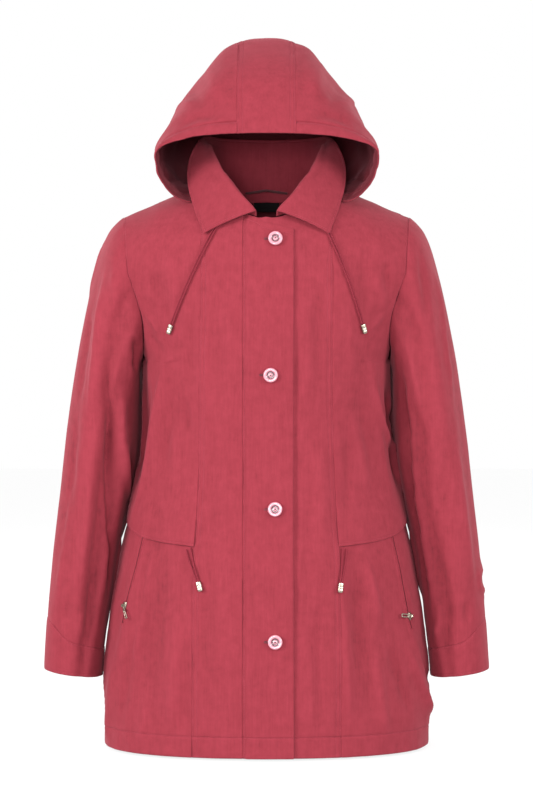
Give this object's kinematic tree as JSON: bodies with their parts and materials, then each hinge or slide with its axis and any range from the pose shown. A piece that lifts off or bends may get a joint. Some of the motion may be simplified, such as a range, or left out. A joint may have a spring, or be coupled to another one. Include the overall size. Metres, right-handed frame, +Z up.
{
  "type": "women's hooded anorak, filled out as if worn, with no wearer",
  "caption": "Hip-length hooded anorak with a button placket, a two-leaf collar, drawcords at hood and waist, zipped side pockets and long cuffed sleeves, filled out but empty.",
  "frame": {"origin": "the middle of the wearer's neck, level with the back neckline, where the neck and the shoulders carry the coat", "axes": "+Z up, -Y the way the wearer faces, +X the wearer's left"},
  "size_m": [0.6202, 0.2976, 0.9871],
  "materials": {
    "shell": "peached microfibre, matt with a soft nap",
    "shell_inside": "matt",
    "cord": "round braid, matt",
    "button": "pearl",
    "nickel": "bright nickel",
    "label": "woven, bare"
  },
  "bodies": {
    "garment": {"back_lower": "shell", "back_upper": "shell", "button_1": "button", "button_2": "button", "button_3": "button", "button_4": "button", "centre_front_left": "shell", "centre_front_right": "shell", "collar": "shell", "cuff_left": "shell", "cuff_right": "shell", "hanging_loop": "shell_inside", "hood_centre": "shell", "hood_cord_left_a": "cord", "hood_cord_left_b": "cord", "hood_cord_left_end": "nickel", "hood_cord_right_a": "cord", "hood_cord_right_b": "cord", "hood_cord_right_end": "nickel", "hood_side_left": "shell", "hood_side_right": "shell", "neck_label": "label", "placket": "shell", "pocket_zip_left": "shell_inside", "pocket_zip_right": "shell_inside", "side_front_left": "shell", "side_front_right": "shell", "skirt_front_left": "shell", "skirt_front_right": "shell", "sleeve_left": "shell", "sleeve_right": "shell", "waist_cord_left_a": "cord", "waist_cord_left_b": "cord", "waist_cord_left_end": "nickel", "waist_cord_right_a": "cord", "waist_cord_right_b": "cord", "waist_cord_right_end": "nickel", "zip_slider_left": "nickel", "zip_slider_right": "nickel"},
    "pull_right": {"zip_pull_right": "nickel"},
    "pull_left": {"zip_pull_left": "nickel"}
  },
  "joints": [
    {"name": "pull_right_hinge", "type": "hinge", "parent": "garment", "child": "pull_right", "pos_m": [-0.1959, -0.08554, -0.55223], "axis": [-0.4556, 0.6968, -0.5539], "range_deg": [0, 150]},
    {"name": "pull_left_hinge", "type": "hinge", "parent": "garment", "child": "pull_left", "pos_m": [0.19816, -0.07916, -0.56735], "axis": [-0.0142, 0.1829, 0.983], "range_deg": [0, 150]}
  ]
}
